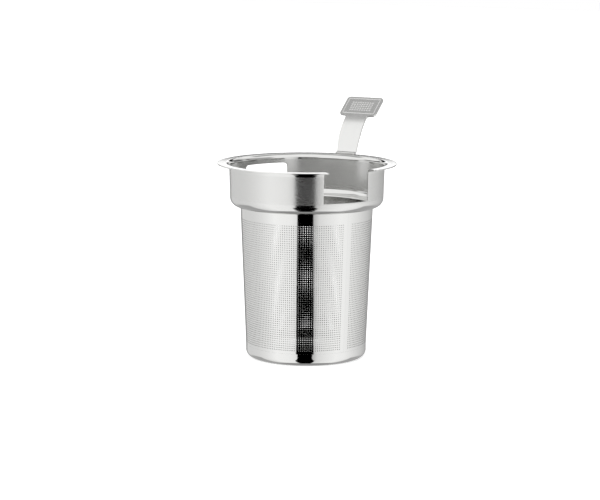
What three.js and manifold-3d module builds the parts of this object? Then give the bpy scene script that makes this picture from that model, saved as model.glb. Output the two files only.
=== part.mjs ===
// Filter basket for a teapot: a drawn collar whose flange hangs in the mouth of the pot, a tapered
// perforated sleeve under it, a pressed base, and a strap handle that stands over the rim.
// Millimetres, +Z up. The origin is the middle of the underside of the base; the handle points to +Y.
import * as THREE from "three";
import { mergeVertices } from "three/addons/utils/BufferGeometryUtils.js";
import Module from "manifold-3d";

const wasm = await Module();
wasm.setup();

// ---- driving dimensions -------------------------------------------------------------------------
const RIM_HEIGHT = 87.3; // top face of the flange above the base
const SEGMENTS = 72; // steps round the axis
const GAP = 0.1; // left between pieces that are welded together

const FLANGE_RADIUS = 40;
const COLLAR_SHEET = 0.5;
const COLLAR_TOP_RADIUS = 34.65; // outside of the collar wall under the lip
const COLLAR_LOW_RADIUS = 34.25; // outside of the collar wall where the shoulder starts to turn in
const LIP_BEND = 1.65; // bend radii are those of the middle of the sheet
const SHOULDER_BEND = 3.5;
const HEEL_BEND = 0.7; // turns the shoulder up again before the neck
const NECK_SLOPE = 40; // degrees of that rise
const NECK_BEND = 0.5;
const SHOULDER_Z = 68.1; // underside of the shoulder
const NECK_LENGTH = 3; // the neck turns down inside the sleeve by this much

const SLEEVE_SHEET = 0.35;
const SLEEVE_TOP_RADIUS = 29.6; // outside, at the shoulder
const SLEEVE_FOOT_RADIUS = 26.98; // outside, at the top of the base cup
const BASE_CUP_HEIGHT = 5.6;
const BASE_SHEET = 0.5;
const BASE_BEND = 2.75;

const OPENING_WIDTH = 22.6; // the notch and the window are cut by the same punch
const OPENING_FLOOR = RIM_HEIGHT - 14.2;
const WINDOW_TOP = RIM_HEIGHT - 4;
const WINDOW_CORNER = 1.4;
const NOTCH_DIRECTION = -30.6; // degrees from +X, anticlockwise from above
const WINDOW_DIRECTION = 152.6;

const HANDLE_SHEET = 0.8;
const STRAP_WIDTH = 10.7;
const FOOT_WIDTH = 9.7; // the strap narrows a little towards its foot
const TAPER_TOP = 10.5; // below the tab's root, square to the tab: where that narrowing starts
const TAPER_FOOT = 17.3; // and where it ends
const FOOT_START = 37.3; // the strap's foot lies on the flat of the flange
const FOOT_END = 38.3;
const FOOT_BEND = 1.2;
const STRAP_LEAN = 14.4; // degrees off upright where the strap leaves its foot
const STRAP_CURVE = 28.3;
const TAB_LEAN = 52.2; // degrees off upright of the thumb tab
const TAB_WIDTH = 18.5;
const TAB_LENGTH = 12.3;
const TAB_CORNER = 1.6;
const TAB_ROOT_FILLET = 1.2;

const HANDLE_AXIS = new THREE.Vector3(0, 1, 0);
const ARC_STEP = 18; // degrees of a sheet bend that one facet covers
const STRAP_STEP = 5; // and of the long curve of the strap

// ---- materials ----------------------------------------------------------------------------------
const steel = (name, color, roughness) =>
  new THREE.MeshStandardMaterial({ name, color, roughness, metalness: 1 });
const SATIN_STEEL = steel("satin_steel", 0xc6c8c8, 0.38);
const BRIGHT_STEEL = steel("bright_steel", 0xd4d5d5, 0.12);
const MATT_STEEL = steel("matt_steel", 0xbfc0be, 0.5);

// ---- helpers ------------------------------------------------------------------------------------
const degrees = THREE.MathUtils.degToRad;
const point = (x, y) => new THREE.Vector2(x, y);

// Points of a circular bend, both ends included. Angles in degrees, anticlockwise from +X.
function bend(centre, radius, from, to, step = ARC_STEP) {
  const steps = Math.max(2, Math.round(Math.abs(to - from) / step));
  return Array.from({ length: steps + 1 }, (_, i) => {
    const angle = degrees(from + ((to - from) * i) / steps);
    return point(centre.x + radius * Math.cos(angle), centre.y + radius * Math.sin(angle));
  });
}

// The outline of a sheet, anticlockwise, from the line along the middle of its thickness.
function sheetOutline(middle, thickness) {
  const side = (sign) =>
    middle.map((p, i) => {
      const ahead = middle[Math.min(i + 1, middle.length - 1)].clone();
      const along = ahead.sub(middle[Math.max(i - 1, 0)]).normalize();
      return point(p.x - sign * along.y * (thickness / 2), p.y + sign * along.x * (thickness / 2));
    });
  return [...side(-1), ...side(1).reverse()];
}

// A body of revolution about Z, from an outline of (radius, height) points.
function turned(outline) {
  return new THREE.LatheGeometry(outline, SEGMENTS).rotateX(Math.PI / 2);
}

const closed = (outline) => [...outline, outline[0].clone()];

function toSolid(geometry) {
  const bare = geometry.clone();
  bare.deleteAttribute("normal");
  bare.deleteAttribute("uv");
  const merged = mergeVertices(bare, 1e-4);
  return new wasm.Manifold(
    new wasm.Mesh({
      numProp: 3,
      vertProperties: merged.attributes.position.array,
      triVerts: new Uint32Array(merged.index.array),
    }),
  );
}

function toGeometry(solid) {
  const mesh = solid.getMesh();
  const geometry = new THREE.BufferGeometry();
  geometry.setAttribute("position", new THREE.BufferAttribute(mesh.vertProperties, 3));
  geometry.setIndex(new THREE.BufferAttribute(mesh.triVerts, 1));
  geometry.computeVertexNormals();
  return geometry;
}

function named(name, geometry, material) {
  const mesh = new THREE.Mesh(geometry, material);
  mesh.name = name;
  return mesh;
}

function sleeveRadius(z) {
  const share = (SHOULDER_Z - z) / (SHOULDER_Z - BASE_CUP_HEIGHT);
  return THREE.MathUtils.lerp(SLEEVE_TOP_RADIUS, SLEEVE_FOOT_RADIUS, share);
}

// ---- collar: flange, wall, shoulder and neck drawn from one sheet -------------------------------
function collarMiddle() {
  const half = COLLAR_SHEET / 2;
  const wallTop = COLLAR_TOP_RADIUS - half;
  const wallLow = COLLAR_LOW_RADIUS - half;
  const flangeZ = RIM_HEIGHT - half;
  const shoulderZ = SHOULDER_Z + half;
  const neckFoot = SHOULDER_Z - NECK_LENGTH;
  const neckRadius = (z) => sleeveRadius(z) - SLEEVE_SHEET - GAP - half;
  const neckTop = neckRadius(SHOULDER_Z);
  const heelX = wallLow - SHOULDER_BEND;
  const heel = bend(point(heelX, shoulderZ + HEEL_BEND), HEEL_BEND, -90, -90 - NECK_SLOPE).slice(1);
  const heelEnd = heel[heel.length - 1];
  const crest = degrees(90 - NECK_SLOPE); // the neck's bend starts square to the rise
  const crestX = neckTop + NECK_BEND + NECK_BEND * Math.cos(crest);
  const crestZ = heelEnd.y + (heelEnd.x - crestX) * Math.tan(degrees(NECK_SLOPE));
  return [
    point(FLANGE_RADIUS, flangeZ),
    ...bend(point(wallTop + LIP_BEND, flangeZ - LIP_BEND), LIP_BEND, 90, 180),
    ...bend(point(heelX, shoulderZ + SHOULDER_BEND), SHOULDER_BEND, 0, -90),
    ...heel,
    ...bend(point(neckTop + NECK_BEND, crestZ - NECK_BEND * Math.sin(crest)), NECK_BEND, 90 - NECK_SLOPE, 180),
    point(neckRadius(neckFoot), neckFoot),
  ];
}

// A punch that cuts outwards through the wall in one direction, between two heights.
function punch(low, high, corner, direction) {
  const half = OPENING_WIDTH / 2;
  const face = new THREE.Shape();
  face.moveTo(-half + corner, low);
  face.lineTo(half - corner, low);
  face.absarc(half - corner, low + corner, corner, -Math.PI / 2, 0);
  face.absarc(half - corner, high - corner, corner, 0, Math.PI / 2);
  face.absarc(-half + corner, high - corner, corner, Math.PI / 2, Math.PI);
  face.absarc(-half + corner, low + corner, corner, Math.PI, 1.5 * Math.PI);
  const reach = FLANGE_RADIUS + 5;
  const block = new THREE.ExtrudeGeometry(face, { depth: reach, bevelEnabled: false, curveSegments: 3 });
  return toSolid(block.rotateX(Math.PI / 2).rotateZ(degrees(direction + 90)));
}

function collar() {
  const ring = toSolid(turned(closed(sheetOutline(collarMiddle(), COLLAR_SHEET))));
  const notch = punch(OPENING_FLOOR, RIM_HEIGHT + 5, 0.3, NOTCH_DIRECTION);
  const window = punch(OPENING_FLOOR, WINDOW_TOP, WINDOW_CORNER, WINDOW_DIRECTION);
  return named("collar", toGeometry(ring.subtract(notch).subtract(window)), SATIN_STEEL);
}

// ---- perforated sleeve: a rolled and seam-welded cone -------------------------------------------
function perforatedSleeve() {
  const top = SHOULDER_Z + GAP;
  const foot = BASE_CUP_HEIGHT + GAP;
  const outline = [
    point(sleeveRadius(foot), foot),
    point(sleeveRadius(top), top),
    point(sleeveRadius(top) - SLEEVE_SHEET, top),
    point(sleeveRadius(foot) - SLEEVE_SHEET, foot),
  ];
  return named("perforated_sleeve", turned(closed(outline)), BRIGHT_STEEL);
}

// ---- base cup: a pressed disc with a short wall that carries the sleeve -------------------------
function baseCup() {
  const half = BASE_SHEET / 2;
  const wall = SLEEVE_FOOT_RADIUS - half;
  const middle = [
    point(0, half),
    ...bend(point(wall - BASE_BEND, half + BASE_BEND), BASE_BEND, -90, 0),
    point(wall, BASE_CUP_HEIGHT),
  ];
  return named("base_cup", turned(sheetOutline(middle, BASE_SHEET)), BRIGHT_STEEL);
}

// ---- handle: a strap with a foot on the flange, a long curve and a wide thumb tab ---------------
// The line along the middle of the strap, as (distance from the axis, height) points.
function strapMiddle() {
  const footZ = RIM_HEIGHT + GAP + HANDLE_SHEET / 2;
  const rise = bend(point(FOOT_END, footZ + FOOT_BEND), FOOT_BEND, -90, -STRAP_LEAN);
  const start = rise[rise.length - 1];
  const lean = degrees(STRAP_LEAN);
  const centre = point(
    start.x + STRAP_CURVE * Math.cos(lean),
    start.y - STRAP_CURVE * Math.sin(lean),
  );
  const curve = bend(centre, STRAP_CURVE, 180 - STRAP_LEAN, 180 - TAB_LEAN, STRAP_STEP).slice(1);
  const root = curve[curve.length - 1];
  const tip = root.clone().add(tabDirection().multiplyScalar(TAB_LENGTH));
  return { root, line: [point(FOOT_START, footZ), ...rise, ...curve, tip] };
}

function tabDirection() {
  return point(Math.sin(degrees(TAB_LEAN)), Math.cos(degrees(TAB_LEAN)));
}

// The strap seen square to its tab: it widens from its foot and steps out to the tab's round corners.
function strapPlan() {
  const foot = FOOT_WIDTH / 2;
  const narrow = STRAP_WIDTH / 2;
  const wide = TAB_WIDTH / 2;
  const below = -2 * RIM_HEIGHT;
  const plan = new THREE.Shape();
  plan.moveTo(-foot, below);
  plan.lineTo(foot, below);
  plan.lineTo(foot, -TAPER_FOOT);
  plan.lineTo(narrow, -TAPER_TOP);
  plan.absarc(narrow + TAB_ROOT_FILLET, -TAB_ROOT_FILLET, TAB_ROOT_FILLET, Math.PI, Math.PI / 2, true);
  plan.absarc(wide - TAB_CORNER, TAB_CORNER, TAB_CORNER, -Math.PI / 2, 0);
  plan.absarc(wide - TAB_CORNER, TAB_LENGTH - TAB_CORNER, TAB_CORNER, 0, Math.PI / 2);
  plan.absarc(TAB_CORNER - wide, TAB_LENGTH - TAB_CORNER, TAB_CORNER, Math.PI / 2, Math.PI);
  plan.absarc(TAB_CORNER - wide, TAB_CORNER, TAB_CORNER, Math.PI, 1.5 * Math.PI);
  plan.absarc(-narrow - TAB_ROOT_FILLET, -TAB_ROOT_FILLET, TAB_ROOT_FILLET, Math.PI / 2, 0, true);
  plan.lineTo(-narrow, -TAPER_TOP);
  plan.lineTo(-foot, -TAPER_FOOT);
  return plan;
}

function handleStrap() {
  const { root, line } = strapMiddle();
  const side = new THREE.Shape(sheetOutline(line, HANDLE_SHEET));
  const slab = new THREE.ExtrudeGeometry(side, { depth: 2 * TAB_WIDTH, bevelEnabled: false });
  // (distance, height, across) becomes (y, z, x)
  slab.translate(0, 0, -TAB_WIDTH).applyMatrix4(
    new THREE.Matrix4().makeBasis(
      HANDLE_AXIS,
      new THREE.Vector3(0, 0, 1),
      new THREE.Vector3(1, 0, 0),
    ),
  );
  const reach = 2 * RIM_HEIGHT;
  const blade = new THREE.ExtrudeGeometry(strapPlan(), {
    depth: 2 * reach,
    bevelEnabled: false,
    curveSegments: 4,
  });
  const along = tabDirection();
  const tabUp = new THREE.Vector3(0, along.x, along.y);
  const across = new THREE.Vector3(1, 0, 0);
  blade.translate(0, 0, -reach).applyMatrix4(
    new THREE.Matrix4()
      .makeBasis(across, tabUp, new THREE.Vector3().crossVectors(across, tabUp))
      .setPosition(0, root.x, root.y),
  );
  return named("handle_strap", toGeometry(toSolid(slab).intersect(toSolid(blade))), MATT_STEEL);
}

const basket = new THREE.Group();
basket.add(collar(), perforatedSleeve(), baseCup(), handleStrap());

export default basket;
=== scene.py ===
"""Filter basket for a teapot, in polished and satin stainless steel, on a white table.

Every piece is one sheet of steel: the shape is laid out along the middle of the sheet, then given
its thickness. Dimensions are named in millimetres; meshes are made in metres in the row frame, with
the origin under the middle of the base, +Z up and the handle towards +Y.
"""

import math

import bmesh
import bpy
import numpy as np
from mathutils import Matrix, Vector
from mathutils.geometry import delaunay_2d_cdt


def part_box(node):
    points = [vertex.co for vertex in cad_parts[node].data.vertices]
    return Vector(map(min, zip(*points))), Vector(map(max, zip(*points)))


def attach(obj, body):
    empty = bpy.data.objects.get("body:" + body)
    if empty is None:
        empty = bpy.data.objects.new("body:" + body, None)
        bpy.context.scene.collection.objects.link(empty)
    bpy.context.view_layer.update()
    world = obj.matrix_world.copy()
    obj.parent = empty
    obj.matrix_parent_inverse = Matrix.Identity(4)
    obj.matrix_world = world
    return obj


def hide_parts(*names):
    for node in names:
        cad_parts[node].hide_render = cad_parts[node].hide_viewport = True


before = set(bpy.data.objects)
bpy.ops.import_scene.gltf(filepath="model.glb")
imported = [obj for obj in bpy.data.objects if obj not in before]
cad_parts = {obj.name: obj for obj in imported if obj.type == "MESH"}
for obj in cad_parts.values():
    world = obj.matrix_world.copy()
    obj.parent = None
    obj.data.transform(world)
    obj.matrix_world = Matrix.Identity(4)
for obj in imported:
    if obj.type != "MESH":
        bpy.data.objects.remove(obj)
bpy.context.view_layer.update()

MM = 0.001
STEP = 2.0  # degrees between columns round the axis
OCTAGON = np.radians(22.5 + 45 * np.arange(8))  # directions of the eight points round a hole
CORNER_TURNS = (90, 60, 35, 15, 0)  # degrees at which a rounded corner is sampled
CRISP_ANGLE = 50  # edges that turn more are rounded by a bevel
SHARP_ANGLE = 35  # edges that turn more are shaded as sharp
GAP = 0.1  # between pieces that lie on one another
TOLERANCE = 0.01  # heights that differ by less are the same
MERGE_DISTANCE = 1e-6

# ---- sizes read from the frame ------------------------------------------------------------------
RIM_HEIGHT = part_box("collar")[1].z / MM  # top face of the flange
FLANGE_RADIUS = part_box("collar")[1].y / MM
NECK_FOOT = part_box("collar")[0].z / MM

# ---- collar -------------------------------------------------------------------------------------
COLLAR_SHEET = 0.5
COLLAR_EDGE_ROUND = 0.09
COLLAR_TOP_RADIUS = 34.65  # outside, under the lip
COLLAR_LOW_RADIUS = 34.25  # outside, where the shoulder starts to turn in
LIP_BEND = 1.65  # bend radii are those of the middle of the sheet
SHOULDER_BEND = 3.5
HEEL_BEND = 0.7  # turns the shoulder up again before the neck
NECK_SLOPE = 40  # degrees of that rise
NECK_BEND = 0.5
NECK_HEIGHT = 3.0
SHOULDER_Z = NECK_FOOT + NECK_HEIGHT
OPENING_WIDTH = 22.6
OPENING_FLOOR = RIM_HEIGHT - 14.2
WINDOW_TOP = RIM_HEIGHT - 4.0
WINDOW_CORNER = 1.4
NOTCH_CORNER = 0.2
FLANGE_TIP_CORNER = 1.8
FLANGE_DROOP = 0.75  # degrees
FLANGE_RINGS = (37.6, 37.0, 36.4)  # radii of extra rings of points across the flange
WALL_RINGS = (84.4, 80.7, 79.4, 78.1, 76.8, 75.6)  # heights of extra rings up the wall
NOTCH_DIRECTION = -30.6  # degrees from +X, anticlockwise from above
WINDOW_DIRECTION = 152.6

# ---- base ---------------------------------------------------------------------------------------
BASE_CUP_HEIGHT = 5.6
BASE_SHEET = 0.5
BASE_BEND = 2.75
BASE_WALL_RING = 4.3  # height of an extra ring of points up its wall
BASE_HOLE_FIELD = 21.5  # radius of the perforated disc

# ---- sleeve -------------------------------------------------------------------------------------
SLEEVE_SHEET = 0.35
SLEEVE_TOP = SHOULDER_Z + GAP
SLEEVE_FOOT = BASE_CUP_HEIGHT + 0.02
SLEEVE_TOP_RADIUS = 29.6  # outside, at the shoulder
SLEEVE_FOOT_RADIUS = 26.98  # outside, at the base cup
SLEEVE_SLOPE = (SLEEVE_TOP_RADIUS - SLEEVE_FOOT_RADIUS) / (SHOULDER_Z - BASE_CUP_HEIGHT)
TOP_MARGIN_ROWS = 5  # rows of plain cells above the first row of holes
SEAM_DIRECTION = -24.2
SEAM_BLANK_COLUMNS = 4  # columns of holes left out for the weld
HOLE_ROWS = 58
HOLE_ROW_TOP = 62.76
HOLE_PITCH = 0.975
HOLE_DIAMETER = 0.49
SLEEVE_TIERS = 3
WELD_FOOT = BASE_CUP_HEIGHT + 0.05
WELD_WIDTH = 0.55
WELD_PROUD = 0.03
WELD_WANDER = ((0.03, 2.1), (0.02, 5.3))  # sideways waves of the bead: mm, and radians for each mm up
WELD_RINGS = 40
WELD_SIDES = 16

# ---- handle -------------------------------------------------------------------------------------
HANDLE_SHEET = 0.8
HANDLE_EDGE_ROUND = 0.22
HANDLE_COLUMNS = 145  # points across the strap, close enough together to show the pips
TAB_ROWS = 110
STRAP_WIDTH = 10.7
FOOT_WIDTH = 9.7
TAPER_TOP = 11.5  # along the strap from the root of the tab, where it starts to narrow
TAPER_FOOT = 19.5
FOOT_START = 37.3
FOOT_END = 38.3
FOOT_BEND = 1.2
STRAP_LEAN = 14.4  # degrees off upright where the strap leaves its foot
STRAP_CURVE = 28.3
TAB_LEAN = 52.2
TAB_WIDTH = 18.5
TAB_LENGTH = 12.3
TAB_CORNER = 1.6
TAB_ROOT_FILLET = 1.2
FRAME_INSET = 1.3  # pressed line round the tab, from its edges
FRAME_WIDTH = 0.7
FRAME_DEPTH = 0.07
PIP_PITCH = 1.25  # pressed field of pips inside that line
PIP_RADIUS = 0.55
PIP_HEIGHT = 0.1
PIP_COLUMNS = 9
PIP_ROWS = 5

# ---- camera -------------------------------------------------------------------------------------
CAMERA_AZIMUTH = 27.8
CAMERA_ELEVATION = 8.72
CAMERA_DISTANCE = 971.0
CAMERA_TARGET_Z = 55.0
CAMERA_ROLL = 0.30
FOCAL = 3.613333  # focal length over image width
TARGET_RIGHT = 0.010783  # where the target lies from the middle of the image, over its width
TARGET_UP = 0.0265
SENSOR_WIDTH = 36

# ---- finishes: heights in mm, noise scales per metre ---------------------------------------------
WALL_LOW = 72.6  # the ground part of the collar's wall
WALL_LOW_SOFT = 0.25
WALL_HIGH = 84.9
WALL_HIGH_SOFT = 0.4
FLANGE_ROUGHNESS = 0.05
SHOULDER_ROUGHNESS = 0.1
SATIN_ROUGHNESS = 0.16
INSIDE_RADIUS = 34.2  # between the two faces of the collar's wall
INSIDE_SOFT = 0.03
INSIDE_ROUGHNESS = 0.24
HAZE_ROUGHNESS = 0.5
GRAIN_SCALE = 9000
GRAIN_STRETCH = 14
PIT_SCALE = 10000
PIT_SHARE = (0.53, 0.64)  # where the noise starts to be a pit, and where it is wholly one
FLANGE_PITS = 0.15  # strength of the pits off the wall
CLOUD_SCALE = 120
DRAW_LINE_SCALE = 4000
DRAW_LINE_STRETCH = 30
BRIGHT_ROUGHNESS = (0.035, 0.12)  # least and most
BLAST_SCALE = 2600
BLAST_CLOUD_SCALE = 400
MATT_ROUGHNESS = (0.14, 0.32)

# ---- light tent: (azimuth, brightness) of its walls, azimuth 0 at the camera and + to its right ----
TENT_WALLS = [
    (-180, 0.3), (-162, 0.35), (-150, 0.82), (-104, 0.94), (-84, 1.05), (-58, 1.28), (-27, 1.21),
    (-18, 1.1), (13, 0.65), (22, 0.99), (37, 1.12), (60, 1.26), (77, 1.22), (107, 0.99),
    (136, 0.74), (160, 0.48), (180, 0.3),
]
RAMP_SCALE = 2  # the ramp holds the brightness divided by this, as its colours stop at 1
# cards over the walls, one over another: azimuths, elevations, softness in degrees, brightness
CARDS = [
    ((-180, 180), (20, 95), 14, 1.22),  # ceiling
    ((55, 155), (-4, 30), 14, 0.5),  # the right wall ends low
    ((105, 255), (45, 80), 7, 0.52),  # grey panel high at the back
    ((100, 260), (11.5, 20), 3, 0.03),  # dark line over the back wall
    ((145, 215), (-4, 6.5), 1.5, 0.1),  # dark foot of the back wall
    ((145, 215), (6.3, 11.5), 1.2, 1.35),  # and its bright top edge
    ((100, 260), (-95, -24), 8, 0.5),  # the table's far half, in the basket's own shade
    ((-180, 180), (-95, -64), 10, 0.38),  # the table under the basket
]
SLOT_AZIMUTH = -2.2  # dark slot between the two front panels
SLOT_HALF_WIDTH = 13.4
SLOT_WAIST = -12.5  # elevation at which it is narrowest
SLOT_FALL = (0.85, 5.882)  # degrees of half width gained for each degree below, for so many degrees
SLOT_RISE = (1.4, 1.5)  # and above
SLOT_SOFT = 0.6
SLOT_TOP = 8
SLOT_TOP_SOFT = 3
SLOT_BOTTOM = -72
SLOT_BOTTOM_SOFT = 1
TABLE_GLOW = 0.5


# ---- mesh helpers -------------------------------------------------------------------------------
def bend(centre, radius, start, stop, steps):
    """Points of a circular bend, ends included, as (radius, height) rows. Degrees from +r."""
    angle = np.radians(np.linspace(start, stop, steps + 1))
    return np.column_stack([centre[0] + radius * np.cos(angle), centre[1] + radius * np.sin(angle)])


def corner_steps(corner):
    """Distances in from the edge at which a rounded corner is sampled."""
    return corner * (1 - np.sin(np.radians(CORNER_TURNS)))


def grid_faces(rows, columns, closed, missing=None):
    """Quads of a grid of points. A closed grid joins its last column to its first."""
    faces = []
    last = columns if closed else columns - 1
    for i in range(rows - 1):
        for j in range(last):
            if missing is not None and missing(i, j):
                continue
            k = (j + 1) % columns
            faces.append((i * columns + j, i * columns + k, (i + 1) * columns + k, (i + 1) * columns + j))
    return faces


def thicken(points, faces, thickness):
    """A closed sheet about its middle surface: both faces, and a wall along every open edge."""
    middle = bpy.data.meshes.new("middle")
    middle.from_pydata(points, [], faces)
    middle.update()
    normals = np.empty(len(points) * 3)
    middle.vertex_normals.foreach_get("vector", normals)
    offset = normals.reshape(-1, 3) * thickness / 2
    bpy.data.meshes.remove(middle)
    count = len(points)
    sides = set()
    for face in faces:
        sides.update(zip(face, (*face[1:], face[0])))
    walls = [(b, a, a + count, b + count) for a, b in sorted(sides) if (b, a) not in sides]
    inner = [tuple(v + count for v in reversed(face)) for face in faces]
    return np.vstack([points + offset, points - offset]), [*faces, *inner, *walls]


def mesh_object(name, mesh):
    ob = bpy.data.objects.new(name, mesh)
    bpy.context.scene.collection.objects.link(ob)
    return ob


def solid_mesh(name, points, faces, edge_round=0.0):
    """A smooth-shaded mesh object from points in mm, its crisp edges rounded by a small bevel."""
    mesh = bpy.data.meshes.new(name)
    mesh.from_pydata(points * MM, [], faces)
    build = bmesh.new()
    build.from_mesh(mesh)
    loose = [v for v in build.verts if not v.link_faces]
    bmesh.ops.delete(build, geom=loose, context="VERTS")
    if edge_round:
        folds = [e for e in build.edges if len(e.link_faces) == 2]
        crisp = [e for e in folds if e.calc_face_angle() > math.radians(CRISP_ANGLE)]
        bmesh.ops.bevel(build, geom=crisp, offset=edge_round * MM, segments=2, profile=0.5,
                        affect="EDGES", clamp_overlap=True)
    build.to_mesh(mesh)
    build.free()
    mesh.shade_smooth()
    mesh.set_sharp_from_angle(angle=math.radians(SHARP_ANGLE))
    ob = mesh_object(name, mesh)
    if edge_round:
        weighted = ob.modifiers.new("even_normals", "WEIGHTED_NORMAL")
        weighted.keep_sharp = True
    return ob


def sleeve_radius(z):
    """Radius of the sleeve's outside at height z."""
    return SLEEVE_TOP_RADIUS - SLEEVE_SLOPE * (SHOULDER_Z - z)


# ---- collar -------------------------------------------------------------------------------------
def collar_rows():
    """(radius, height) of the middle of the collar's sheet, from the flange's edge to the neck's foot."""
    half = COLLAR_SHEET / 2
    wall_top = COLLAR_TOP_RADIUS - half
    wall_low = COLLAR_LOW_RADIUS - half
    flange_z = RIM_HEIGHT - half
    shoulder_z = SHOULDER_Z + half
    lip_foot = flange_z - LIP_BEND
    bend_top = shoulder_z + SHOULDER_BEND
    neck_radius = sleeve_radius(SHOULDER_Z) - SLEEVE_SHEET - GAP - half
    neck_low = sleeve_radius(NECK_FOOT) - SLEEVE_SHEET - GAP - half

    lip_start = wall_top + LIP_BEND
    droop = math.tan(math.radians(FLANGE_DROOP))
    radii = [*(FLANGE_RADIUS - corner_steps(FLANGE_TIP_CORNER)), *FLANGE_RINGS]
    flat = [(r, flange_z - (r - lip_start) * droop) for r in radii]

    levels = [*(WINDOW_TOP - corner_steps(WINDOW_CORNER)), *(OPENING_FLOOR + corner_steps(WINDOW_CORNER))]
    levels += WALL_RINGS
    levels = sorted((z for z in levels if bend_top < z < lip_foot), reverse=True)
    spread = (wall_top - wall_low) / (lip_foot - bend_top)
    wall = [(wall_low + spread * (z - bend_top), z) for z in levels]

    heel_radius = wall_low - SHOULDER_BEND
    heel = bend((heel_radius, shoulder_z + HEEL_BEND), HEEL_BEND, -90, -90 - NECK_SLOPE, 4)[1:]
    crest = math.radians(90 - NECK_SLOPE)  # the neck's bend starts square to the rise
    crest_radius = neck_radius + NECK_BEND * (1 + math.cos(crest))
    crest_z = heel[-1][1] + (heel[-1][0] - crest_radius) * math.tan(math.radians(NECK_SLOPE))
    neck_z = crest_z - NECK_BEND * math.sin(crest)
    neck = [((neck_radius + neck_low) / 2, (neck_z + NECK_FOOT) / 2), (neck_low, NECK_FOOT)]
    return np.vstack([
        flat,
        bend((lip_start, lip_foot), LIP_BEND, 90, 180, 10),
        wall,
        bend((heel_radius, bend_top), SHOULDER_BEND, 0, -90, 14),
        heel,
        bend((neck_radius + NECK_BEND, neck_z), NECK_BEND, 90 - NECK_SLOPE, 180, 8),
        neck,
    ])


def opening_half_width(z, low, high, corner):
    """Half the width of a punched opening at height z. Past its ends it keeps the ends' width."""
    inset = np.clip(corner - min(z - low, high - z), 0, corner)
    return OPENING_WIDTH / 2 - corner + math.sqrt(corner**2 - inset**2)


def sector_ends(notch, window):
    """Directions, in degrees, where the notch, an arc, the window and an arc start, and where all end."""
    ends = [NOTCH_DIRECTION - notch, NOTCH_DIRECTION + notch]
    ends += [WINDOW_DIRECTION - window, WINDOW_DIRECTION + window]
    return [*ends, ends[0] + 360]


def opening_angles(r, z):
    """Half the angle that the notch and the window take up at a radius and a height."""
    tip = max(0.0, r - (FLANGE_RADIUS - FLANGE_TIP_CORNER))
    flare = FLANGE_TIP_CORNER - math.sqrt(FLANGE_TIP_CORNER**2 - tip**2)
    notch = opening_half_width(z, OPENING_FLOOR, math.inf, NOTCH_CORNER) + flare
    window = opening_half_width(z, OPENING_FLOOR, WINDOW_TOP, WINDOW_CORNER)
    near = max(r, COLLAR_LOW_RADIUS - COLLAR_SHEET)
    return [math.degrees(math.asin(half / near)) for half in (notch, window)]


def collar():
    """The collar: its profile turned round the axis, with the notch and the window left out."""
    rows = collar_rows()
    edge = math.degrees(math.asin(OPENING_WIDTH / 2 / COLLAR_TOP_RADIUS))
    stops = sector_ends(edge, edge)
    counts = [round(b - a) for a, b in zip(stops, stops[1:])]
    points = []
    for r, z in rows:
        ends = sector_ends(*opening_angles(r, z))
        sectors = zip(ends, ends[1:], counts)
        angle = np.radians(np.concatenate([np.linspace(*sector, endpoint=False) for sector in sectors]))
        points.append(np.column_stack([r * np.cos(angle), r * np.sin(angle), np.full(len(angle), z)]))
    window_start = counts[0] + counts[1]

    def missing(i, j):
        """Whether the cell under row i, right of column j, is punched out."""
        if rows[i + 1][1] < OPENING_FLOOR - TOLERANCE:
            return False
        in_notch = j < counts[0]
        below_top = rows[i][1] < WINDOW_TOP + TOLERANCE
        return in_notch or (window_start <= j < window_start + counts[2] and below_top)

    faces = [f[::-1] for f in grid_faces(len(rows), sum(counts), True, missing)]
    points, faces = thicken(np.vstack(points), faces, COLLAR_SHEET)
    return solid_mesh("drawn_collar", points, faces, COLLAR_EDGE_ROUND)


# ---- sleeve -------------------------------------------------------------------------------------
class CornerNormalMesh:
    """Points and polygons of a mesh, with the normal of each corner of each polygon."""

    def __init__(self):
        self.points = []
        self.polygons = []
        self.normals = []
        self.count = 0

    def add(self, points):
        """Takes in an array of points. Their numbers come back, laid out as the points were."""
        self.points.append(points.reshape(-1, 3))
        first = self.count
        self.count += len(self.points[-1])
        return np.arange(first, self.count).reshape(points.shape[:-1])

    def emit(self, corners, normals, flip=False):
        """Takes in polygons as rows of point numbers, and the normals of their corners."""
        sides = corners.shape[-1]
        corners = corners.reshape(-1, sides)
        normals = normals.reshape(-1, sides, 3)
        order = slice(None, None, -1 if flip else 1)
        self.polygons += corners[:, order].tolist()
        self.normals.append(normals[:, order].reshape(-1, 3))

    def build(self, name):
        mesh = bpy.data.meshes.new(name)
        mesh.from_pydata(np.vstack(self.points) * MM, [], self.polygons)
        mesh.shade_smooth()
        mesh.normals_split_custom_set(np.vstack(self.normals))
        return mesh_object(name, mesh)


def sleeve_point(angle, z, inside):
    """Points of the sleeve's outside or inside, and the normals of that face of the sheet."""
    lean = math.hypot(1, SLEEVE_SLOPE)
    fall = np.broadcast_to(-SLEEVE_SLOPE / lean, angle.shape)
    outward = np.stack([np.cos(angle) / lean, np.sin(angle) / lean, fall], -1)
    r = sleeve_radius(z)
    point = np.stack([r * np.cos(angle), r * np.sin(angle), z], -1)
    if inside:
        return point - outward * SLEEVE_SHEET, -outward
    return point, outward


def tier_levels(first, last):
    """Heights between the rows of cells, from the top down, and whether each row has holes."""
    levels = [HOLE_ROW_TOP + HOLE_PITCH * (0.5 - i) for i in range(first, last + 2)]
    pierced = [True] * (last + 1 - first)
    if first == 0:
        levels = [*np.linspace(SLEEVE_TOP, levels[0], TOP_MARGIN_ROWS + 1)[:-1], *levels]
        pierced = [False] * TOP_MARGIN_ROWS + pierced
    if last == HOLE_ROWS - 1:
        levels.append(SLEEVE_FOOT)
        pierced.append(False)
    return np.array(levels), np.array(pierced)


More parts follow.
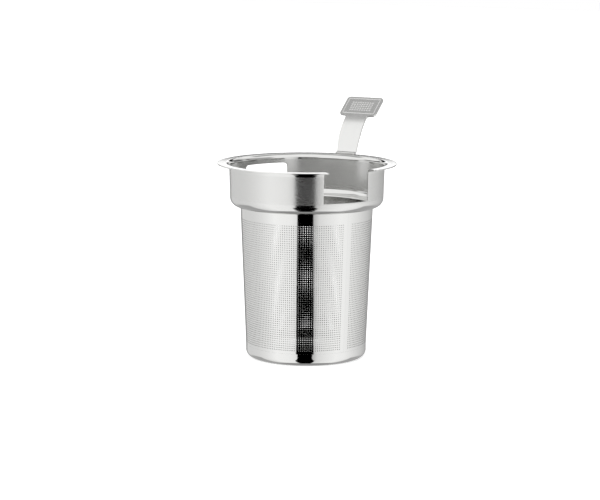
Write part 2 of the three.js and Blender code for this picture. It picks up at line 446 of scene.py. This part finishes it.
def cell_corners(grid):
    """What a grid holds at the four corners of each cell, from the low left, anticlockwise."""
    right = np.roll(grid, -1, axis=1)
    return np.stack([grid[1:], right[1:], right[:-1], grid[:-1]], axis=2)


def add_hole_frames(mesh, cells, cell_normals, rings, ring_normals, inside):
    """The sheet between the corners of each pierced cell and the octagon of its hole."""
    corners = np.concatenate([cells, rings], axis=1)
    normals = np.concatenate([cell_normals, ring_normals], axis=1)
    for side in range(4):  # the right, top, left and low side of the cell
        start, end = (side + 1) % 4, (side + 2) % 4
        first, second, third = (4 + (2 * side + k) % 8 for k in (7, 8, 9))
        for picked in ([start, end, second, first], [end, third, second]):
            mesh.emit(corners[:, picked], normals[:, picked], inside)


def add_hole_walls(mesh, outer, inner, angle):
    """The walls of the holes, between their octagons on both faces of the sheet."""
    along = np.stack([-np.sin(angle), np.cos(angle), 0 * angle], -1)[:, None]
    inward = -(np.cos(OCTAGON)[:, None] * along + np.sin(OCTAGON)[:, None] * np.array([0, 0, 1]))
    next_outer, next_inner, next_inward = (np.roll(v, -1, axis=1) for v in (outer, inner, inward))
    mesh.emit(np.stack([outer, next_outer, next_inner, inner], -1),
              np.stack([inward, next_inward, next_inward, inward], -2))


def add_sheet_edge(mesh, outer, inner, up):
    """The narrow edge of the sheet along the top (up is 1) or the foot (up is -1) of a tier."""
    corners = np.stack([outer, np.roll(outer, -1), np.roll(inner, -1), inner], -1)
    mesh.emit(corners, np.broadcast_to(np.array([0.0, 0.0, up]), (*corners.shape, 3)), up < 0)


def sleeve_tier(name, first, last):
    """One tier of the perforated sleeve, rows first to last of the holes, with its plain margins."""
    mesh = CornerNormalMesh()
    columns = round(360 / STEP)
    levels, open_row = tier_levels(first, last)
    angle, height = np.meshgrid(np.radians(SEAM_DIRECTION + STEP * np.arange(columns)), levels)
    blank = SEAM_BLANK_COLUMNS // 2
    column = np.arange(columns)
    pierced = open_row[:, None] & (column >= blank) & (column < columns - blank)

    corners, cells, cell_normals = [], [], []
    for inside in (False, True):
        points, normals = sleeve_point(angle, height, inside)
        corners.append(mesh.add(points))
        cells.append(cell_corners(corners[-1]))
        cell_normals.append(cell_corners(normals))
    for inside in (False, True):
        mesh.emit(cells[inside][~pierced], cell_normals[inside][~pierced], inside)

    row, column = np.nonzero(pierced)
    middle = (levels[row] + levels[row + 1]) / 2
    middle_angle = np.radians(SEAM_DIRECTION + STEP * (column + 0.5))
    reach = HOLE_DIAMETER / 2
    hole_angle = middle_angle[:, None] + reach * np.cos(OCTAGON) / sleeve_radius(middle)[:, None]
    hole_height = middle[:, None] + reach * np.sin(OCTAGON)
    rings, ring_normals = [], []
    for inside in (False, True):
        points, normals = sleeve_point(hole_angle, hole_height, inside)
        rings.append(mesh.add(points))
        ring_normals.append(normals)
    for inside in (False, True):
        add_hole_frames(mesh, cells[inside][pierced], cell_normals[inside][pierced],
                        rings[inside], ring_normals[inside], inside)
    add_hole_walls(mesh, *rings, middle_angle)
    add_sheet_edge(mesh, corners[0][0], corners[1][0], 1)
    add_sheet_edge(mesh, corners[0][-1], corners[1][-1], -1)
    return mesh.build(name)


def sleeve():
    """The perforated sleeve, split into tiers of rows of holes. The perforated sleeve, as
    tiers that each keep within the exporter's size for a piece.
    """
    stops = np.linspace(0, HOLE_ROWS, SLEEVE_TIERS + 1).round().astype(int)
    tiers = zip(stops, stops[1:])
    return [sleeve_tier(f"sleeve_tier_{number}", a, b - 1) for number, (a, b) in enumerate(tiers, 1)]


def sleeve_weld():
    """The flat bead of the seam, standing a little proud of both faces of the sleeve."""
    turn = math.radians(SEAM_DIRECTION)
    out = np.array([math.cos(turn), math.sin(turn), 0])
    across = np.array([-math.sin(turn), math.cos(turn), 0])
    circle = bend((0, 0), 1, 0, 360 - 360 / WELD_SIDES, WELD_SIDES - 1)
    deep = circle[:, :1] * (SLEEVE_SHEET / 2 + WELD_PROUD)
    wide = circle[:, 1:] * WELD_WIDTH / 2
    points = []
    for z in np.linspace(WELD_FOOT, SLEEVE_TOP, WELD_RINGS):
        wander = sum(reach * math.sin(wave * z) for reach, wave in WELD_WANDER)
        middle = sleeve_radius(z) - SLEEVE_SHEET / 2
        points.append(out * (middle + deep) + across * (wide + wander) + [0, 0, z])
    foot, top = range(WELD_SIDES), range((WELD_RINGS - 1) * WELD_SIDES, WELD_RINGS * WELD_SIDES)
    faces = [*grid_faces(WELD_RINGS, WELD_SIDES, True), tuple(reversed(foot)), tuple(top)]
    return solid_mesh("sleeve_weld_bead", np.vstack(points), faces)


# ---- base ---------------------------------------------------------------------------------------
def pierced_floor(rim, height, first):
    """The flat floor inside the points of a rim: its own points, numbered from first, and triangles."""
    reach = int(BASE_HOLE_FIELD / HOLE_PITCH)
    steps = range(-reach, reach + 1)
    centres = [(HOLE_PITCH * i, HOLE_PITCH * j) for i in steps for j in steps
               if math.hypot(i, j) * HOLE_PITCH < BASE_HOLE_FIELD]
    hole = HOLE_DIAMETER / 2 * np.column_stack([np.cos(OCTAGON), np.sin(OCTAGON)])
    flat = np.vstack([rim, *[hole + centre for centre in centres]])
    columns = len(rim)
    outlines = [list(range(columns))]
    outlines += [list(range(start, start + 8)) for start in range(columns, len(flat), 8)]
    found = delaunay_2d_cdt([Vector(p) for p in flat], [], outlines, 0, MERGE_DISTANCE)
    plane, triangles, source = found[0], found[2], found[3]
    own = [ids[0] for ids in source]

    points = []
    number = []
    for place, known in zip(plane, own):
        if known < columns:
            number.append(known)
        else:
            number.append(first + len(points))
            points.append((*place, height))
    faces = []
    for triangle in triangles:
        holes = {(own[v] - columns) // 8 if own[v] >= columns else -1 for v in triangle}
        in_a_hole = len(holes) == 1 and -1 not in holes
        if not in_a_hole:
            faces.append(tuple(number[v] for v in triangle))
    return points, faces


def base():
    """The base cup: a rounded corner and a short wall round a pierced floor."""
    half = BASE_SHEET / 2
    wall = SLEEVE_FOOT_RADIUS - half
    corner = bend((wall - BASE_BEND, half + BASE_BEND), BASE_BEND, -90, 0, 12)
    rows = [*corner, (wall, BASE_WALL_RING), (wall, BASE_CUP_HEIGHT)]
    columns = round(360 / STEP)
    angle = np.radians(STEP * np.arange(columns))
    circle = np.column_stack([np.cos(angle), np.sin(angle)])
    shell = np.vstack([np.column_stack([r * circle, np.full(columns, z)]) for r, z in rows])
    floor, floor_faces = pierced_floor(shell[:columns, :2], half, len(shell))
    faces = grid_faces(len(rows), columns, True) + floor_faces
    points, faces = thicken(np.vstack([shell, floor]), faces, BASE_SHEET)
    return solid_mesh("base_cup_pressed", points, faces)


# ---- handle -------------------------------------------------------------------------------------
def strap_line():
    """(distance from the axis, height) along the middle of the strap, up to the root of the tab."""
    foot_z = RIM_HEIGHT + GAP + HANDLE_SHEET / 2
    foot = [(r, foot_z) for r in np.linspace(FOOT_START, FOOT_END, 7)]
    rise = bend((FOOT_END, foot_z + FOOT_BEND), FOOT_BEND, -90, -STRAP_LEAN, 8)
    lean = math.radians(STRAP_LEAN)
    centre = (rise[-1][0] + STRAP_CURVE * math.cos(lean), rise[-1][1] - STRAP_CURVE * math.sin(lean))
    curve = bend(centre, STRAP_CURVE, 180 - STRAP_LEAN, 180 - TAB_LEAN, 40)
    return np.vstack([foot, rise[1:], curve[1:]])


def half_width(t):
    """Half the width of the strap and its tab, t mm past the tab's root along the strap."""
    if t <= -TAB_ROOT_FILLET:
        share = min(1.0, max(0.0, (TAPER_FOOT + t) / (TAPER_FOOT - TAPER_TOP)))
        return (FOOT_WIDTH + (STRAP_WIDTH - FOOT_WIDTH) * share) / 2
    if t <= 0:
        return STRAP_WIDTH / 2 + TAB_ROOT_FILLET - math.sqrt(TAB_ROOT_FILLET**2 - (t + TAB_ROOT_FILLET) ** 2)
    inset = min(TAB_CORNER, max(0.0, TAB_CORNER - min(t, TAB_LENGTH - t)))
    return TAB_WIDTH / 2 - TAB_CORNER + math.sqrt(TAB_CORNER**2 - inset**2)


def hump(distance, reach):
    """1 at no distance, falling smoothly to 0 at reach."""
    return np.cos(np.pi / 2 * np.clip(np.abs(distance) / reach, 0, 1)) ** 2


def pressed(x, t):
    """How far the tab's sheet is pressed up at x mm off its middle line and t mm past its root."""
    to_edge = np.minimum(TAB_WIDTH / 2 - np.abs(x), min(t, TAB_LENGTH - t))
    line = hump(to_edge - FRAME_INSET, FRAME_WIDTH / 2)
    column = np.clip(np.round(x / PIP_PITCH), -(PIP_COLUMNS // 2), PIP_COLUMNS // 2)
    row = np.clip(np.round((t - TAB_LENGTH / 2) / PIP_PITCH), -(PIP_ROWS // 2), PIP_ROWS // 2)
    apart = np.hypot(x - column * PIP_PITCH, t - TAB_LENGTH / 2 - row * PIP_PITCH)
    return PIP_HEIGHT * hump(apart, PIP_RADIUS) - FRAME_DEPTH * line


def handle():
    """The handle: a bent strip as wide as half_width says, with the tab's pressed pattern."""
    line = strap_line()
    lean = math.radians(TAB_LEAN)
    along = np.array([math.sin(lean), math.cos(lean)])
    tab = line[-1] + np.linspace(0, TAB_LENGTH, TAB_ROWS + 1)[1:, None] * along
    path = np.vstack([line, tab])
    length = np.concatenate([[0], np.cumsum(np.hypot(*np.diff(path, axis=0).T))])
    past_root = length - length[len(line) - 1]
    across = np.linspace(-1, 1, HANDLE_COLUMNS)
    points = []
    for (d, z), t in zip(path, past_root):
        x = across * half_width(t)
        lift = pressed(x, t) if t > 0 else 0 * x
        points.append(np.column_stack([x, d - lift * along[1], z + lift * along[0]]))
    faces = grid_faces(len(path), HANDLE_COLUMNS, False)
    points, faces = thicken(np.vstack(points), faces, HANDLE_SHEET)
    return solid_mesh("strap_handle", points, faces, HANDLE_EDGE_ROUND)


# ---- materials ----------------------------------------------------------------------------------
def node(tree, kind, *values, **settings):
    """A new shader node's first output. The values, numbers or sockets, go to its inputs in turn."""
    made = tree.nodes.new("ShaderNode" + kind)
    for name, setting in settings.items():
        setattr(made, name, setting)
    for socket, value in zip(made.inputs, values):
        if isinstance(value, bpy.types.NodeSocket):
            tree.links.new(value, socket)
        elif value is not None:
            socket.default_value = value
    return made.outputs[0]


def calculate(tree, operation, *values):
    return node(tree, "Math", *values, operation=operation)


def fade(tree, value, start, stop):
    """0 at start and 1 at stop with a smooth slope between them, whichever is the higher."""
    return node(tree, "MapRange", value, start, stop, interpolation_type="SMOOTHSTEP")


def blend(tree, share, first, second):
    """first where share is 0, second where it is 1."""
    return calculate(tree, "MULTIPLY_ADD", share, calculate(tree, "SUBTRACT", second, first), first)


def object_place(tree):
    return tree.nodes.new("ShaderNodeTexCoord").outputs["Object"]


def turned_coordinates(tree, stretch):
    """Height, radius, and coordinates for marks left by turning, drawn out along the circle."""
    place = object_place(tree)
    apart = tree.nodes.new("ShaderNodeSeparateXYZ")
    tree.links.new(place, apart.inputs[0])
    x, y, z = apart.outputs
    angle = calculate(tree, "ARCTAN2", y, x)
    squares = [calculate(tree, "MULTIPLY", v, v) for v in (x, y)]
    radius = calculate(tree, "SQRT", calculate(tree, "ADD", *squares))
    along = calculate(tree, "MULTIPLY", angle, COLLAR_LOW_RADIUS * MM / stretch)
    return z, radius, node(tree, "CombineXYZ", along, z, radius)


def straight_coordinates(tree, stretch):
    """Coordinates for marks that run along the YZ plane."""
    return node(tree, "VectorMath", object_place(tree), (1, 1 / stretch, 1 / stretch), operation="MULTIPLY")


def noise(tree, place, scale, detail, rough):
    return node(tree, "TexNoise", place, None, scale, detail, rough)


def bump(tree, shader, height, strength, depth):
    """Tilts the shaded surface by a height from 0 to 1 that stands for so many mm."""
    tree.links.new(node(tree, "Bump", strength, depth * MM, None, height), shader.inputs["Normal"])


def steel(name, colour, roughness):
    """Bare steel of one colour. The roughness is what it has where no texture drives it."""
    material = bpy.data.materials.new(name)
    material.use_nodes = True
    tree = material.node_tree
    shader = tree.nodes["Principled BSDF"]
    shader.inputs["Base Color"].default_value = (*colour, 1)
    shader.inputs["Metallic"].default_value = 1
    shader.inputs["Roughness"].default_value = roughness
    return material, tree, shader


def satin_steel():
    """The collar: ground satin on its wall, left as drawn and brighter on the flange and the bends."""
    material, tree, shader = steel("satin_steel", (0.66, 0.66, 0.65), 0.2)
    z, radius, turned = turned_coordinates(tree, GRAIN_STRETCH)
    low = fade(tree, z, (WALL_LOW - WALL_LOW_SOFT) * MM, (WALL_LOW + WALL_LOW_SOFT) * MM)
    high = fade(tree, z, (WALL_HIGH + WALL_HIGH_SOFT) * MM, (WALL_HIGH - WALL_HIGH_SOFT) * MM)
    wall = calculate(tree, "MULTIPLY", low, high)
    inside = fade(tree, radius, (INSIDE_RADIUS + INSIDE_SOFT) * MM, (INSIDE_RADIUS - INSIDE_SOFT) * MM)
    drawn = blend(tree, high, FLANGE_ROUGHNESS, SHOULDER_ROUGHNESS)
    ground = blend(tree, inside, SATIN_ROUGHNESS, INSIDE_ROUGHNESS)
    pits = fade(tree, noise(tree, object_place(tree), PIT_SCALE, 1, 0.5), *PIT_SHARE)
    pits = calculate(tree, "MULTIPLY", pits, blend(tree, wall, FLANGE_PITS, 1))
    roughness = blend(tree, pits, blend(tree, wall, drawn, ground), HAZE_ROUGHNESS)
    tree.links.new(roughness, shader.inputs["Roughness"])
    bump(tree, shader, noise(tree, turned, GRAIN_SCALE, 4, 0.6), 0.06, 0.02)
    return material


def bright_steel():
    """The sleeve and the base: bright rolled sheet with faint draw lines and a soft waviness."""
    material, tree, shader = steel("bright_steel", (0.68, 0.68, 0.67), 0.05)
    clouds = noise(tree, object_place(tree), CLOUD_SCALE, 2, 0.5)
    lines = noise(tree, straight_coordinates(tree, DRAW_LINE_STRETCH), DRAW_LINE_SCALE, 2, 0.5)
    worn = calculate(tree, "MULTIPLY", clouds, lines)
    tree.links.new(blend(tree, worn, *BRIGHT_ROUGHNESS), shader.inputs["Roughness"])
    bump(tree, shader, clouds, 0.1, 0.04)
    return material


def matt_steel():
    """The handle: blasted to an even fine grain."""
    material, tree, shader = steel("matt_steel", (0.69, 0.69, 0.68), 0.3)
    place = object_place(tree)
    clouds = noise(tree, place, BLAST_CLOUD_SCALE, 2, 0.5)
    tree.links.new(blend(tree, clouds, *MATT_ROUGHNESS), shader.inputs["Roughness"])
    bump(tree, shader, noise(tree, place, BLAST_SCALE, 2, 0.6), 0.35, 0.03)
    return material


# ---- stage --------------------------------------------------------------------------------------
def camera():
    data = bpy.data.cameras.new("camera")
    data.sensor_width = SENSOR_WIDTH
    data.lens = FOCAL * SENSOR_WIDTH
    data.clip_start = 0.01
    data.clip_end = 50
    ob = bpy.data.objects.new("camera", data)
    bpy.context.scene.collection.objects.link(ob)
    a, e = math.radians(CAMERA_AZIMUTH), math.radians(CAMERA_ELEVATION)
    back = Vector((math.sin(a) * math.cos(e), -math.cos(a) * math.cos(e), math.sin(e)))
    right = Vector((math.cos(a), math.sin(a), 0))
    up = back.cross(right)
    axis = -back * FOCAL - right * TARGET_RIGHT - up * TARGET_UP
    place = Vector((0, 0, CAMERA_TARGET_Z * MM)) + back * CAMERA_DISTANCE * MM
    roll = Matrix.Rotation(math.radians(CAMERA_ROLL), 4, "Z")
    ob.matrix_world = Matrix.Translation(place) @ axis.to_track_quat("-Z", "Y").to_matrix().to_4x4() @ roll
    bpy.context.scene.camera = ob


def card(tree, level, sky, azimuth, elevation, soft, glow):
    """The level with a card of another brightness over it, between two azimuths and two elevations."""
    turn, rise = sky
    middle = sum(azimuth) / 2
    away = calculate(tree, "WRAP", calculate(tree, "SUBTRACT", turn, middle), 180, -180)
    reach = azimuth[1] - middle
    across = fade(tree, calculate(tree, "ABSOLUTE", away), reach + soft / 2, reach - soft / 2)
    low = fade(tree, rise, elevation[0] - soft / 2, elevation[0] + soft / 2)
    high = fade(tree, rise, elevation[1] + soft / 2, elevation[1] - soft / 2)
    inside = calculate(tree, "MULTIPLY", across, calculate(tree, "MULTIPLY", low, high))
    return blend(tree, inside, level, glow)


def widening(tree, away, slope, most):
    """The slope for each degree away, up to so many degrees, and nothing the other way."""
    away = calculate(tree, "MINIMUM", calculate(tree, "MAXIMUM", away, 0), most)
    return calculate(tree, "MULTIPLY", away, slope)


def dark_slot(tree, level, sky):
    """The level with the dark slot between the two front panels, which widens below and above its waist."""
    turn, rise = sky
    below = widening(tree, calculate(tree, "SUBTRACT", SLOT_WAIST, rise), *SLOT_FALL)
    above = widening(tree, calculate(tree, "SUBTRACT", rise, SLOT_WAIST), *SLOT_RISE)
    reach = calculate(tree, "ADD", calculate(tree, "ADD", below, above), SLOT_HALF_WIDTH)
    away = calculate(tree, "ABSOLUTE", calculate(tree, "SUBTRACT", turn, SLOT_AZIMUTH))
    across = fade(tree, calculate(tree, "SUBTRACT", away, reach), SLOT_SOFT, -SLOT_SOFT)
    under = fade(tree, rise, SLOT_TOP + SLOT_TOP_SOFT, SLOT_TOP - SLOT_TOP_SOFT)
    over = fade(tree, rise, SLOT_BOTTOM - SLOT_BOTTOM_SOFT, SLOT_BOTTOM + SLOT_BOTTOM_SOFT)
    inside = calculate(tree, "MULTIPLY", across, calculate(tree, "MULTIPLY", under, over))
    return blend(tree, inside, level, 0)


def studio():
    """A light tent, drawn as brightness over azimuth (0 at the camera, + to its right) and elevation."""
    world = bpy.data.worlds.new("studio")
    world.use_nodes = True
    bpy.context.scene.world = world
    tree = world.node_tree
    tree.nodes.clear()
    direction = tree.nodes.new("ShaderNodeTexCoord").outputs["Generated"]
    turned = node(tree, "VectorRotate", direction, None, None, math.radians(90 - CAMERA_AZIMUTH),
                  rotation_type="Z_AXIS")
    apart = tree.nodes.new("ShaderNodeSeparateXYZ")
    tree.links.new(turned, apart.inputs[0])
    x, y, z = apart.outputs
    turn = calculate(tree, "DEGREES", calculate(tree, "ARCTAN2", y, x))
    rise = calculate(tree, "DEGREES", calculate(tree, "ARCSINE", z))
    sky = (turn, rise)

    walls = tree.nodes.new("ShaderNodeValToRGB")
    tree.links.new(node(tree, "MapRange", turn, -180, 180), walls.inputs["Fac"])
    elements = walls.color_ramp.elements
    while len(elements) < len(TENT_WALLS):
        elements.new(0.5)
    for element, (angle, level) in zip(elements, TENT_WALLS):
        element.position = (angle + 180) / 360
        element.color = (*[level / RAMP_SCALE] * 3, 1)
    level = calculate(tree, "MULTIPLY", walls.outputs["Color"], RAMP_SCALE)
    for azimuth, elevation, soft, glow in CARDS:
        level = card(tree, level, sky, azimuth, elevation, soft, glow)
    level = dark_slot(tree, level, sky)

    seen = tree.nodes.new("ShaderNodeLightPath").outputs["Is Camera Ray"]
    light = node(tree, "Background", None, blend(tree, seen, level, 1))
    out = tree.nodes.new("ShaderNodeOutputWorld")
    tree.links.new(light, out.inputs["Surface"])
    light.node.inputs["Color"].default_value = (1, 1, 1, 1)


def table():
    """A wide white table. It glows, so that it is as white as the backdrop, and isn't mirrored."""
    mesh = bpy.data.meshes.new("table")
    reach = 3.0
    corners = [(-reach, -reach, 0), (reach, -reach, 0), (reach, reach, 0), (-reach, reach, 0)]
    mesh.from_pydata(corners, [], [(0, 1, 2, 3)])
    ob = bpy.data.objects.new("table", mesh)
    bpy.context.scene.collection.objects.link(ob)
    material = bpy.data.materials.new("table_white")
    material.use_nodes = True
    shader = material.node_tree.nodes["Principled BSDF"]
    shader.inputs["Base Color"].default_value = (0.9, 0.9, 0.9, 1)
    shader.inputs["Roughness"].default_value = 0.8
    shader.inputs["Emission Color"].default_value = (1, 1, 1, 1)
    shader.inputs["Emission Strength"].default_value = TABLE_GLOW
    ob.data.materials.append(material)
    ob.visible_glossy = False


def place_piece(ob, material, slot, *nodes):
    """Gives a piece its steel, hangs it on the root body, and hides the CAD nodes that it stands for."""
    ob.data.materials.clear()
    ob.data.materials.append(material)
    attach(ob, "root")
    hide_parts(*nodes)


satin, bright, matt = satin_steel(), bright_steel(), matt_steel()

camera()
studio()
table()
place_piece(collar(), satin, "satin_steel", "collar")
for tier in sleeve():
    place_piece(tier, bright, "bright_steel", "perforated_sleeve")
place_piece(sleeve_weld(), bright, "bright_steel", "perforated_sleeve")
place_piece(base(), bright, "bright_steel", "base_cup")
place_piece(handle(), matt, "matt_steel", "handle_strap")

bpy.context.scene.view_settings.view_transform = "Standard"
